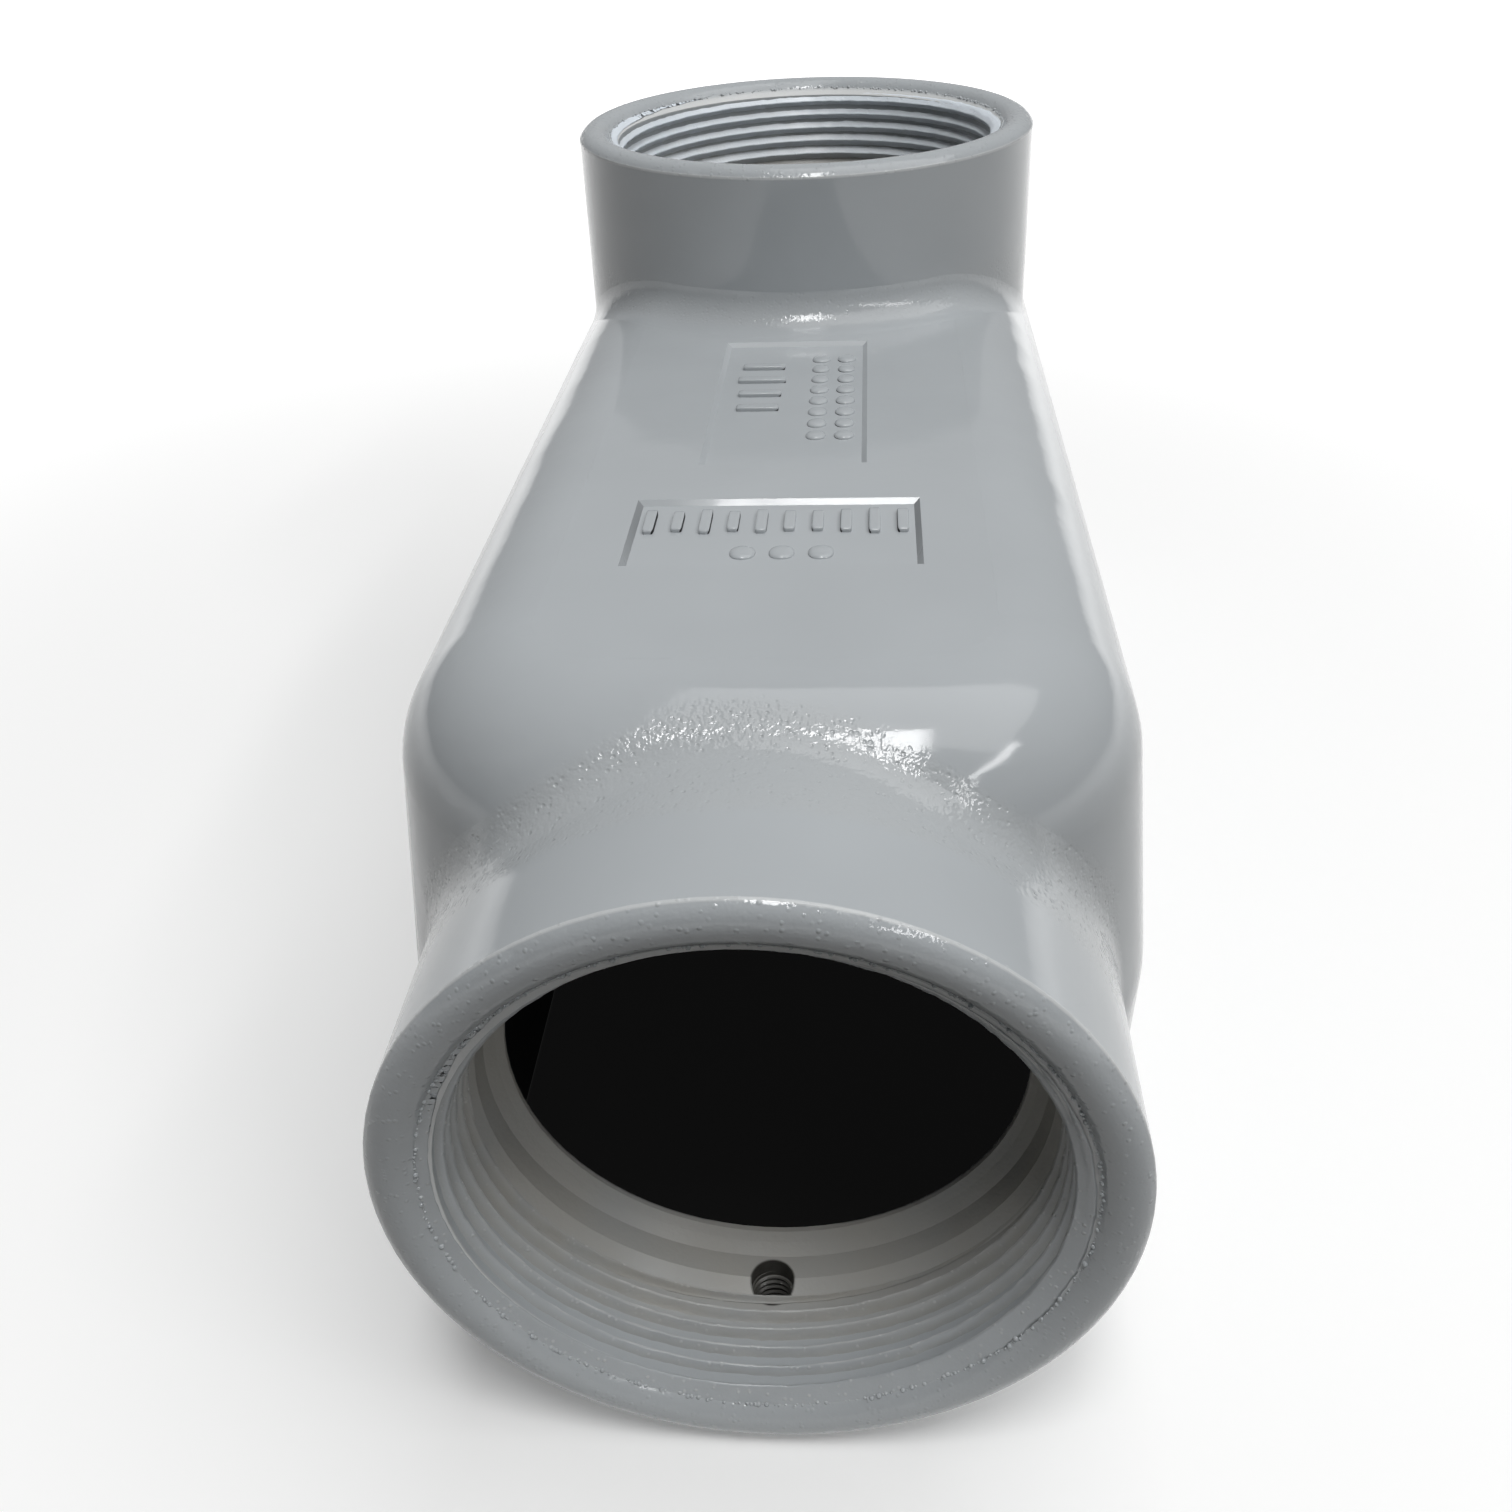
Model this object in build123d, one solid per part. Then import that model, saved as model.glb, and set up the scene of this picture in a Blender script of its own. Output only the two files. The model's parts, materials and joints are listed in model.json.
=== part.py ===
from build123d import *
import math
import os

os.makedirs("parts", exist_ok=True)

# Pipe thread the two hubs are cut for, and the hubs themselves
pipe_outer_d = 88.9
thread_pitch = 25.4 / 8
thread_root_inset = 0.4
thread_turns = 5
hub_outer_r = 53.0
rim_crown = 2.0
rim_outer_edge_r = 0.6
mouth_flare = 2.05
mouth_lead = 1.3

# Integral bushing behind the threads
runout_length = 2.6
smooth_bore_r = 42.3
smooth_bore_draft = 0.4
smooth_bore_end = 25.6
throat_r = 39.4
lip_chamfer_width = 1.1
lip_chamfer_length = 1.2
lip_land = 0.9
bushing_depth = 29.5
passage_r = 45.0

# Body envelope
end_hub_lift = 2.0
back_over_end_hub = 5.3
back_hub_height = 146.1
end_face_from_rim = 21.5
far_end_from_rim = 306.0
back_hub_from_rim = 243.5
side_beyond_hub = 6.75
corner_r = 38.3
upper_draft = 6.0
lower_draft = 2.0
parting_blend_r = 30.0
shoulder_r = 22.0
end_crease_r = 8.0
back_crease_r = 7.5

# Chamber
wall = 5.5
lower_chamber_draft = 3.0
passage_overlap = 16.0

# Cover seat around the opening
seat_side_overhang = 0.75
seat_near_from_rim = 11.5
seat_far_overhang = 0.5
seat_thickness = 7.0
seat_corner_r = 38.0
seat_edge_r = 2.0

# Tapped holes for the cover screws
cover_screw_hole_r = 3.4
cover_screw_from_seat_edge = 10.0
cover_screw_blind_depth = 16.0
lug_r = 10.5
lug_height = 20.0
lug_edge_r = 3.0

# Recessed panels on the back
panel_depth = 0.8
panel_wall_angle = 50.0
wide_panel_half_width = 23.6
wide_panel_near_from_rim = 75.9
wide_panel_far_from_rim = 100.5
long_panel_half_width = 14.8
long_panel_near_from_rim = 115.4
long_panel_far_from_rim = 180.5

# How far a cut runs past the face it opens, and how closely an edge is matched
cut_overrun = 1.0
edge_match = 0.02

# Derived positions, origin at the middle of the underside
overall_length = far_end_from_rim + seat_far_overhang
rim_y = -overall_length / 2
axis_height = hub_outer_r + end_hub_lift
parting_half_width = hub_outer_r + side_beyond_hub
seat_half_width = parting_half_width + seat_side_overhang
back_height = axis_height + hub_outer_r + back_over_end_hub
end_face_y = rim_y + end_face_from_rim
far_end_y = rim_y + far_end_from_rim
back_hub_y = rim_y + back_hub_from_rim
back_rise = back_height - axis_height
seat_near_y = rim_y + seat_near_from_rim
seat_far_y = rim_y + overall_length
near_screw_y = seat_near_y + cover_screw_from_seat_edge
far_screw_y = seat_far_y - cover_screw_from_seat_edge
chamber_near_y = rim_y + bushing_depth
chamber_far_y = far_end_y - wall
ceiling_height = back_height - wall
thread_root_r = pipe_outer_d / 2 - thread_root_inset
mouth_r = thread_root_r + mouth_flare


def flat_rectangle(half_width, y_near, y_far, radius, z):
    """Rounded rectangle centred on the long axis, on a level plane."""
    size = RectangleRounded(2 * half_width, y_far - y_near, radius)
    return Plane((0, (y_near + y_far) / 2, z)) * size


def hub_blank(length):
    """Solid round hub standing on +Z, its rim face crowned up to z = 0 between mouth and edge."""
    profile = Polyline((0, -rim_crown), (mouth_r, -rim_crown))
    profile += ThreePointArc(
        (mouth_r, -rim_crown), ((mouth_r + hub_outer_r) / 2, 0), (hub_outer_r, -rim_crown)
    )
    profile += Polyline((hub_outer_r, -rim_crown), (hub_outer_r, -length), (0, -length), (0, -rim_crown))
    blank = revolve(Plane.XZ * make_face(profile), Axis.Z)
    outer_edge = [
        e for e in blank.edges().filter_by_position(Axis.Z, -rim_crown - edge_match, -rim_crown + edge_match)
        if e.length > 2 * math.pi * mouth_r + edge_match
    ]
    return fillet(outer_edge, rim_outer_edge_r)


def bore_tool():
    """Everything removed inside a hub, rim at z = 0: mouth, thread seat, bushing, passage."""
    thread_start = rim_crown + mouth_lead
    thread_end = thread_start + thread_turns * thread_pitch
    smooth_end_r = smooth_bore_r - smooth_bore_draft
    lip_start = bushing_depth - lip_land
    profile = Polyline(
        (0, cut_overrun),
        (mouth_r, cut_overrun),
        (mouth_r, -rim_crown),
        (thread_root_r, -thread_start),
        (thread_root_r, -thread_end),
        (smooth_bore_r, -thread_end - runout_length),
        (smooth_end_r, -smooth_bore_end),
        (throat_r + lip_chamfer_width, -lip_start + lip_chamfer_length),
        (throat_r, -lip_start),
        (throat_r, -bushing_depth),
        (passage_r, -bushing_depth),
        (passage_r, -bushing_depth - passage_overlap),
        (0, -bushing_depth - passage_overlap),
        (0, cut_overrun),
    )
    return revolve(Plane.XZ * make_face(profile), Axis.Z)


def on_cylinder(edge, distance, radius):
    """True when the whole edge lies on a cylinder of that radius."""
    samples = [edge.position_at(i / 4) for i in range(5)]
    return all(abs(distance(p) - radius) < edge_match for p in samples)


def from_end_axis(p):
    return math.hypot(p.X, p.Z - axis_height)


def from_back_axis(p):
    return math.hypot(p.X, p.Y - back_hub_y)


# Outer loaf: drafted both ways from the parting plane at hub-axis height
plan = flat_rectangle(parting_half_width, end_face_y, far_end_y, corner_r, axis_height)
loaf = extrude(plan, amount=back_rise, taper=upper_draft)
loaf += extrude(plan, amount=-axis_height, taper=lower_draft)
loaf = fillet(loaf.faces().sort_by(Axis.Z)[-1].edges(), shoulder_r)
parting = loaf.edges().filter_by_position(Axis.Z, axis_height - edge_match, axis_height + edge_match)
loaf = fillet(parting, parting_blend_r)

# Hubs, placed with their rims outward, and blended into the loaf
end_frame = Plane(origin=(0, rim_y, axis_height), x_dir=(1, 0, 0), z_dir=(0, -1, 0))
back_frame = Plane(origin=(0, back_hub_y, back_hub_height))
end_hub = end_frame * hub_blank(end_face_from_rim + corner_r)
back_hub = back_frame * hub_blank(back_hub_height - axis_height - shoulder_r)
casting = loaf + end_hub + back_hub
back_crease = [
    e for e in casting.edges()
    if on_cylinder(e, from_back_axis, hub_outer_r) and e.center().Z < (back_height + back_hub_height) / 2
]
casting = fillet(back_crease, back_crease_r)
end_crease = [
    e for e in casting.edges()
    if on_cylinder(e, from_end_axis, hub_outer_r) and e.center().Y > seat_near_y
]
casting = fillet(end_crease, end_crease_r)

# Cover seat: a low plinth under the walls, running forward below the end hub
seat_plan = flat_rectangle(seat_half_width, seat_near_y, seat_far_y, seat_corner_r, 0)
seat = extrude(seat_plan, amount=seat_thickness)
seat = fillet(seat.faces().sort_by(Axis.Z)[-1].edges(), seat_edge_r)
casting += seat

# Chamber inside the walls, open through the seat
chamber_plan = flat_rectangle(
    parting_half_width - wall, chamber_near_y, chamber_far_y, corner_r - wall, axis_height
)
chamber = extrude(chamber_plan, amount=ceiling_height - axis_height, taper=upper_draft)
chamber = fillet(chamber.faces().sort_by(Axis.Z)[-1].edges(), shoulder_r - wall)
chamber += extrude(chamber_plan, amount=-axis_height, taper=lower_chamber_draft)

# Screw lug left standing inside the far end of the opening
lug = Pos(0, far_screw_y, 0) * Cylinder(
    lug_r, lug_height, align=(Align.CENTER, Align.CENTER, Align.MIN)
)
lug = fillet(lug.faces().sort_by(Axis.Z)[-1].edges(), lug_edge_r)
bridge = Pos(0, far_screw_y, 0) * Box(
    2 * lug_r, seat_far_y - far_screw_y, lug_height - lug_edge_r,
    align=(Align.CENTER, Align.MIN, Align.MIN),
)
chamber -= lug + bridge
casting -= chamber

# Bores of both hubs
casting -= end_frame * bore_tool()
casting -= back_frame * bore_tool()

# Cover-screw holes: the near one breaks up into the bore, the far one is blind
near_hole = Pos(0, near_screw_y, 0) * Cylinder(
    cover_screw_hole_r, axis_height - throat_r + cut_overrun, align=(Align.CENTER, Align.CENTER, Align.MIN)
)
far_hole = Pos(0, far_screw_y, 0) * Cylinder(
    cover_screw_hole_r, cover_screw_blind_depth, align=(Align.CENTER, Align.CENTER, Align.MIN)
)
casting -= near_hole + far_hole

# Two shallow panels with sloped walls sunk in the back
for half_width, near, far in (
    (wide_panel_half_width, wide_panel_near_from_rim, wide_panel_far_from_rim),
    (long_panel_half_width, long_panel_near_from_rim, long_panel_far_from_rim),
):
    panel_plane = Plane((0, rim_y + (near + far) / 2, back_height))
    panel = panel_plane * Rectangle(2 * half_width, far - near)
    casting -= extrude(panel, amount=-panel_depth, taper=panel_wall_angle)

body = casting.clean()
box = body.bounding_box()
print("solids", len(body.solids()), "valid", body.is_valid)
print("size", round(box.size.X, 2), round(box.size.Y, 2), round(box.size.Z, 2))
print("low corner", round(box.min.X, 2), round(box.min.Y, 2), round(box.min.Z, 2))
print("volume mm3", round(body.volume))
export_step(body, "parts/body.step")
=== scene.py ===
# %% [markdown]
# # A cast conduit body with two threaded hubs
# The object is one hollow metal casting that turns a pipe run through a right angle. One hub looks out of
# its end, the other stands on its back, and both are cut with a coarse pipe thread. The whole casting was
# dipped or sprayed in a thick light grey enamel, which pools in the corners and beads on the sharp edges.
# The shape itself comes in as the finished solid, so this lesson is about what a solid can't show: threads,
# raised marks, enamel over a sandy skin, and a light that makes all of that readable.

import json
import math

import bmesh
import bpy
from mathutils import Matrix, Vector


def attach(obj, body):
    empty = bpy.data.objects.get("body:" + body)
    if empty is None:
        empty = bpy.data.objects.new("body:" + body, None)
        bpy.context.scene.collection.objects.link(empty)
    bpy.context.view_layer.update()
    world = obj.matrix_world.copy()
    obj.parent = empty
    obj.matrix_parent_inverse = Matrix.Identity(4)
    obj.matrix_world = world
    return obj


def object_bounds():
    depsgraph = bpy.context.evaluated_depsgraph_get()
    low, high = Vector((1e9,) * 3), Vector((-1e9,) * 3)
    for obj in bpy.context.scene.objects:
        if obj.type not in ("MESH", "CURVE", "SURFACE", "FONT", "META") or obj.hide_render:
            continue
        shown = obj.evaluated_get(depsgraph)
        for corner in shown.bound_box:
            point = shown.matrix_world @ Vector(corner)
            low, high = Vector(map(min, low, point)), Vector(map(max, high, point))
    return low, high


MM = 0.001
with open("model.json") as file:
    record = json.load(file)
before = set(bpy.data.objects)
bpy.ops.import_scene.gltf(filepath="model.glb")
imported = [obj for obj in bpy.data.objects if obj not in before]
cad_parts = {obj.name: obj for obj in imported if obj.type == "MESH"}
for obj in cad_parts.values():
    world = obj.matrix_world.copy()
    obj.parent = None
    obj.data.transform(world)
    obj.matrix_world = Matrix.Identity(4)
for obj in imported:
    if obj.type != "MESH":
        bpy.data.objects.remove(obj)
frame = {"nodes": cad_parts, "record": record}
solid_low, solid_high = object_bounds()
casting = frame["nodes"]["body"]
print("casting", len(casting.data.polygons), "faces")

# %% [markdown]
# Everything that is added later has to sit in the hubs or on the back, so their places are worked out once,
# from the solid's own box and from the places that the record gives for its two threaded holes.

# %% Where the hubs and the back are
mounts = {mount["name"]: mount for mount in frame["record"]["mounts"]}
thread_seat_r = mounts["end_hub"]["dims"]["r_mm"] * MM
end_rim = Vector((0, solid_low.y, mounts["end_hub"]["pos_m"][2]))
back_rim = Vector((0, mounts["back_hub"]["pos_m"][1], solid_high.z))
end_outward = Vector((0, -1, 0))
back_outward = Vector((0, 0, 1))
screw_spacing = mounts["cover_screws"]["dims"]["spacing_y_mm"] * MM
screw_middle = Vector(mounts["cover_screws"]["pos_m"])
screw_hole_r = mounts["cover_screws"]["dims"]["hole_r_mm"] * MM


def height_under(x, y):
    """How high the casting's surface is, straight below a point above it."""
    place = casting.ray_cast(Vector((x, y, 1)), Vector((0, 0, -1)))[1]
    return place.z


back_z = height_under(0.045, end_rim.y + 0.14)
print("end rim", tuple(end_rim), "back rim", tuple(back_rim), "back at", round(back_z, 4))

# %% [markdown]
# ## Small helpers for node trees
# Both kinds of tree here, geometry and shading, are mostly sums. A thin wrapper keeps each sum on one line:
# a value may be a number or another node's output, and the wrapper either writes it into the socket or
# draws the wire.


# %% Board, a node tree with short ways to do sums
class Board:
    def __init__(self, tree):
        self.tree = tree

    def add(self, kind, **settings):
        node = self.tree.nodes.new(kind)
        for name, value in settings.items():
            setattr(node, name, value)
        return node

    def feed(self, socket, value):
        if isinstance(value, bpy.types.NodeSocket):
            self.tree.links.new(value, socket)
        else:
            socket.default_value = value

    def sum(self, operation, *values, clamp=False):
        node = self.add("ShaderNodeMath", operation=operation, use_clamp=clamp)
        for socket, value in zip(node.inputs, values):
            self.feed(socket, value)
        return node.outputs[0]

    def arrow(self, operation, *values):
        node = self.add("ShaderNodeVectorMath", operation=operation)
        for socket, value in zip(node.inputs, values):
            self.feed(socket, value)
        return node.outputs[0]

    def length(self, value, operation="LENGTH", other=None):
        node = self.add("ShaderNodeVectorMath", operation=operation)
        self.feed(node.inputs[0], value)
        if other is not None:
            self.feed(node.inputs[1], other)
        return node.outputs["Value"]

    def scaled(self, value, factor):
        node = self.add("ShaderNodeVectorMath", operation="SCALE")
        self.feed(node.inputs[0], value)
        self.feed(node.inputs["Scale"], factor)
        return node.outputs[0]

    def rise(self, value, low, high, start=0.0, end=1.0):
        """A smooth step: start below low, end above high."""
        node = self.add("ShaderNodeMapRange", interpolation_type="SMOOTHSTEP")
        for name, entry in (
            ("Value", value), ("From Min", low), ("From Max", high), ("To Min", start), ("To Max", end)
        ):
            self.feed(node.inputs[name], entry)
        return node.outputs["Result"]

    def band(self, value, low, high, soft):
        """One between low and high, falling to nothing over soft on either side."""
        up = self.rise(value, low - soft, low)
        down = self.rise(value, high, high + soft, 1.0, 0.0)
        return self.sum("MULTIPLY", up, down)

    def parts(self, value):
        node = self.add("ShaderNodeSeparateXYZ")
        self.feed(node.inputs[0], value)
        return node.outputs["X"], node.outputs["Y"], node.outputs["Z"]

    def joined(self, x=0.0, y=0.0, z=0.0):
        """An arrow from its three parts."""
        node = self.add("ShaderNodeCombineXYZ")
        for socket, value in zip(node.inputs, (x, y, z)):
            self.feed(socket, value)
        return node.outputs[0]

    def mixed(self, factor, first, second):
        """Two colours, blended by a factor."""
        node = self.add("ShaderNodeMix", data_type="RGBA")
        self.feed(node.inputs["Factor"], factor)
        self.feed(node.inputs[6], first)
        self.feed(node.inputs[7], second)
        return node.outputs[2]


def new_tree(kind_of_tree, name, inputs, outputs):
    """A node tree with named sockets, its board, and what comes in and goes out."""
    tree = bpy.data.node_groups.new(name, kind_of_tree)
    for label, kind, value in inputs:
        socket = tree.interface.new_socket(label, in_out="INPUT", socket_type="NodeSocket" + kind)
        if value is not None:
            socket.default_value = value
    for label, kind in outputs:
        tree.interface.new_socket(label, in_out="OUTPUT", socket_type="NodeSocket" + kind)
    board = Board(tree)
    entry = board.add("NodeGroupInput").outputs
    leave = board.add("NodeGroupOutput").inputs
    return board, entry, leave


def use_group(board, tree, **values):
    """Places a group in a material; socket names are given with underscores for spaces."""
    node = board.add("ShaderNodeGroup", node_tree=tree)
    for name, value in values.items():
        board.feed(node.inputs[name.replace("_", " ")], value)
    return node.outputs


print("helpers ready")

# %% [markdown]
# ## Shared finish: where a point is on a hub
# Rims, bores and creases are all rings around a hub's axis, so most masks on this casting are sums of two
# numbers: how far a point is from the axis, and how deep it lies below the rim. The group gives both, for
# either hub, from the point's place in the object.


# %% Hub place group
def make_hub_place():
    board, entry, leave = new_tree(
        "ShaderNodeTree",
        "hub place",
        [
            ("Place", "Vector", (0, 0, 0)),
            ("Rim Centre", "Vector", (0, 0, 0)),
            ("Outward", "Vector", (0, 0, 1)),
        ],
        [("Radius", "Float"), ("Depth", "Float")],
    )
    offset = board.arrow("SUBTRACT", entry["Place"], entry["Rim Centre"])
    height = board.length(offset, "DOT_PRODUCT", entry["Outward"])
    sideways = board.arrow("SUBTRACT", offset, board.scaled(entry["Outward"], height))
    board.feed(leave["Radius"], board.length(sideways))
    board.feed(leave["Depth"], board.sum("MULTIPLY", height, -1.0))
    return board.tree


hub_place = make_hub_place()
print("group", hub_place.name)

# %% [markdown]
# ## Shared finish: enamel over a sand-cast skin
# Three sizes of unevenness make the surface. The casting itself is wavy over a centimetre or two, which
# bends the highlights. The enamel has orange peel, ripples two or three millimetres across. Where the sand
# of the mould still shows through there is a fine grain. Each is one noise, sized in metres, and the three
# add up to one height that a Bump node reads.


# %% Cast skin group
def noise(board, place, size, detail, roughness=0.5):
    node = board.add("ShaderNodeTexNoise")
    board.feed(node.inputs["Vector"], place)
    board.feed(node.inputs["Scale"], board.sum("DIVIDE", 1.0, size))
    board.feed(node.inputs["Detail"], detail)
    board.feed(node.inputs["Roughness"], roughness)
    return board.sum("SUBTRACT", node.outputs[0], 0.5)


def make_cast_skin():
    board, entry, leave = new_tree(
        "ShaderNodeTree",
        "cast skin",
        [
            ("Place", "Vector", (0, 0, 0)),
            ("Wave Size", "Float", 0.02),
            ("Wave Height", "Float", 0.0002),
            ("Peel Size", "Float", 0.0025),
            ("Peel Height", "Float", 0.00001),
            ("Grain Size", "Float", 0.0008),
            ("Grain Height", "Float", 0.00001),
            ("Grain Amount", "Float", 0.0),
        ],
        [("Height", "Float")],
    )
    wave = noise(board, entry["Place"], entry["Wave Size"], 0.0)
    peel = noise(board, entry["Place"], entry["Peel Size"], 1.0)
    grain = noise(board, entry["Place"], entry["Grain Size"], 1.0, 0.6)
    low = board.sum("MULTIPLY", wave, entry["Wave Height"])
    middle = board.sum("MULTIPLY", peel, entry["Peel Height"])
    fine = board.sum("MULTIPLY", board.sum("MULTIPLY", grain, entry["Grain Height"]), entry["Grain Amount"])
    board.feed(leave["Height"], board.sum("ADD", board.sum("ADD", low, middle), fine))
    return board.tree


cast_skin = make_cast_skin()
print("group", cast_skin.name)

# %% [markdown]
# ## Shared finish: pocks and beads
# Gas and loose sand leave small pocks, mostly where the hub runs into the body, and the enamel gathers into
# beads on sharp edges. Both are scattered round spots, so one group makes them: cells of a set size, of
# which only some are used, each with a soft round profile. A negative height gives a pock, a positive one a
# bead, and because the height may change over the surface, one scatter serves both.


# %% Spots group
def make_spots():
    board, entry, leave = new_tree(
        "ShaderNodeTree",
        "spots",
        [
            ("Place", "Vector", (0, 0, 0)),
            ("Cell Size", "Float", 0.002),
            ("Spot Share", "Float", 0.35),
            ("Used Share", "Float", 0.5),
            ("Height", "Float", -0.0001),
        ],
        [("Height", "Float"), ("Spot", "Float")],
    )
    cells = board.add("ShaderNodeTexVoronoi", feature="F1")
    board.feed(cells.inputs["Vector"], entry["Place"])
    board.feed(cells.inputs["Scale"], board.sum("DIVIDE", 1.0, entry["Cell Size"]))
    inner = board.sum("MULTIPLY", entry["Spot Share"], 0.2)
    spot = board.rise(cells.outputs["Distance"], inner, entry["Spot Share"], 1.0, 0.0)
    red, green, blue = board.parts(cells.outputs["Color"])
    used = board.sum("LESS_THAN", red, entry["Used Share"])
    depth = board.sum("MULTIPLY_ADD", green, 0.6, 0.4)
    spot = board.sum("MULTIPLY", board.sum("MULTIPLY", spot, used), depth)
    board.feed(leave["Spot"], spot)
    board.feed(leave["Height"], board.sum("MULTIPLY", spot, entry["Height"]))
    return board.tree


spots = make_spots()
print("group", spots.name)

# %% [markdown]
# ## Shared finish: the enamel's colour
# The grey isn't quite even. Thick and thin coats differ by a shade, and handling leaves a warm film of dust
# in hollows. The group takes the clean colour and how dusty the place is, and clouds both with slow noise.


# %% Enamel tone group
def make_enamel_tone():
    board, entry, leave = new_tree(
        "ShaderNodeTree",
        "enamel tone",
        [
            ("Place", "Vector", (0, 0, 0)),
            ("Clean", "Color", (0.43, 0.455, 0.47, 1)),
            ("Dusty", "Color", (0.36, 0.345, 0.31, 1)),
            ("Cloud Size", "Float", 0.03),
            ("Unevenness", "Float", 0.06),
            ("Dust", "Float", 0.0),
        ],
        [("Color", "Color"), ("Cloud", "Float")],
    )
    cloud = noise(board, entry["Place"], entry["Cloud Size"], 2.0, 0.55)
    shade = board.sum("MULTIPLY_ADD", cloud, entry["Unevenness"], 1.0)
    clean = board.scaled(entry["Clean"], shade)
    patchy = board.sum("MULTIPLY", entry["Dust"], board.rise(cloud, -0.25, 0.15, 0.55, 1.0), clamp=True)
    board.feed(leave["Color"], board.mixed(patchy, clean, entry["Dusty"]))
    board.feed(leave["Cloud"], cloud)
    return board.tree


enamel_tone = make_enamel_tone()
print("group", enamel_tone.name)

# %% [markdown]
# ## The enamel on the casting
# The outside is glossy light grey. The rims carry beads of enamel, the crease round each hub is pocked, the
# bores are duller and dusty, and the inside of the chamber never saw the spray gun, so it is raw casting,
# painted near-black as shade. A painted highlight runs along each hub's outer rim edge, painted light lifts
# the chamfer inside each mouth, and the screw holes are painted dark as shade. All sizes and colours of the
# finish are set here, in one place.

# %% Measures and colours of the finish
enamel_grey = (0.43, 0.455, 0.472, 1)
# Painted light: a much lighter enamel for the back hub's thread, for the light that falls into that bore.
painted_light_bluish = (0.76, 0.82, 0.88, 1)
enamel_dusty = (0.44, 0.43, 0.40, 1)
# Painted light: the highlight on sharp edges and thread crests, and the lightened countersink.
painted_light_grey = (0.74, 0.745, 0.735, 1)
# Painted shade: the dark of the cover-screw holes and their threads.
screw_hole_shade = (0.07, 0.068, 0.06, 1)
# Near-black chamber colour: raw casting, darkened further as painted shade.
raw_casting_and_shade = (0.010, 0.010, 0.012, 1)
hub_r = 53.0 * MM
mouth_r = 46.1 * MM
mouth_depth = 2.0 * MM
bushing_depth = 29.5 * MM
wave_size = 17 * MM
wave_height = 0.28 * MM
peel_size = 2.6 * MM
peel_height = 0.018 * MM
grain_size = 0.8 * MM
grain_height = 0.10 * MM
pock_height = -0.10 * MM
bead_height = 0.09 * MM
# Painted shade: the dark in the thread grooves.
groove_shade = (0.16, 0.155, 0.14, 1)
countersink_end = 3.2 * MM
end_crease_depths = (21 * MM, 38 * MM)
back_crease_depths = (27 * MM, 33 * MM)
chamber_middle_low = (0, -60 * MM, 1 * MM)
chamber_middle_high = (0, 90 * MM, 95 * MM)
passage_r = 45.3 * MM
passage_end_depth = 45 * MM
lug_half_width = 12 * MM
lug_near_y = 130 * MM
lug_far_y = 149 * MM
lug_height = 22 * MM


def new_material(name):
    """A material with its board, its surface shader and the place of the shaded point."""
    material = bpy.data.materials.new(name)
    material.use_nodes = True
    board = Board(material.node_tree)
    shader = material.node_tree.nodes["Principled BSDF"]
    place = board.add("ShaderNodeTexCoord").outputs["Object"]
    return material, board, shader, place


def bump(board, shader, height):
    """Heights are in metres, so the bump's own distance is one."""
    node = board.add("ShaderNodeBump")
    node.inputs["Strength"].default_value = 1.0
    node.inputs["Distance"].default_value = 1.0
    board.feed(node.inputs["Height"], height)
    board.feed(shader.inputs["Normal"], node.outputs["Normal"])

# %% [markdown]
# Each part of the casting gets a mask, one where the part is and nothing elsewhere. The chamber's faces look
# towards the middle of the body, where the outer ones look away from it, and that tells them apart. Only the
# screw lug and the passages behind the bushings need masks of their own.


# %% Masks for the parts of the casting
def hub_masks(board, place, rim_centre, outward):
    """Place on one hub, and its bore, rim face and the edges that get painted light, each from nothing to
    one.
    """
    ring = use_group(board, hub_place, Place=place, Rim_Centre=rim_centre, Outward=outward)
    radius, depth = ring["Radius"], ring["Depth"]
    in_radius = board.rise(radius, mouth_r - 0.3 * MM, mouth_r + 0.3 * MM, 1.0, 0.0)
    bore = board.sum("MULTIPLY", in_radius, board.rise(depth, 0.8 * mouth_depth, 1.4 * mouth_depth))
    before_chamber = board.rise(depth, bushing_depth + 1 * MM, bushing_depth + 3 * MM, 1.0, 0.0)
    bore = board.sum("MULTIPLY", bore, before_chamber)
    rim = board.rise(depth, 0.9 * mouth_depth, 1.5 * mouth_depth, 1.0, 0.0)
    # A painted highlight along the hub's outer rim edge.
    at_outer_edge = board.band(depth, 0.9 * mouth_depth, 1.1 * mouth_depth, 0.2 * MM)
    outer_edge_highlight = board.rise(radius, hub_r - 0.5 * MM, hub_r - 0.2 * MM, 0.0, 0.4)
    outer_edge_highlight = board.sum("MULTIPLY", outer_edge_highlight, at_outer_edge)
    # Painted light: the countersink band just inside the mouth is lightened against its shade.
    before_thread = board.rise(depth, countersink_end, countersink_end + 0.6 * MM, 0.7, 0.0)
    countersink = board.sum("MULTIPLY", bore, before_thread)
    edge = board.sum("MAXIMUM", outer_edge_highlight, countersink)
    return radius, depth, bore, rim, edge


def crease_mask(board, radius, depth, low, high):
    """The hollow where a hub meets the body."""
    around = board.band(radius, hub_r + 0.6 * MM, hub_r + 2.6 * MM, 2.4 * MM)
    return board.sum("MULTIPLY", around, board.band(depth, low, high, 3.0 * MM))


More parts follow.
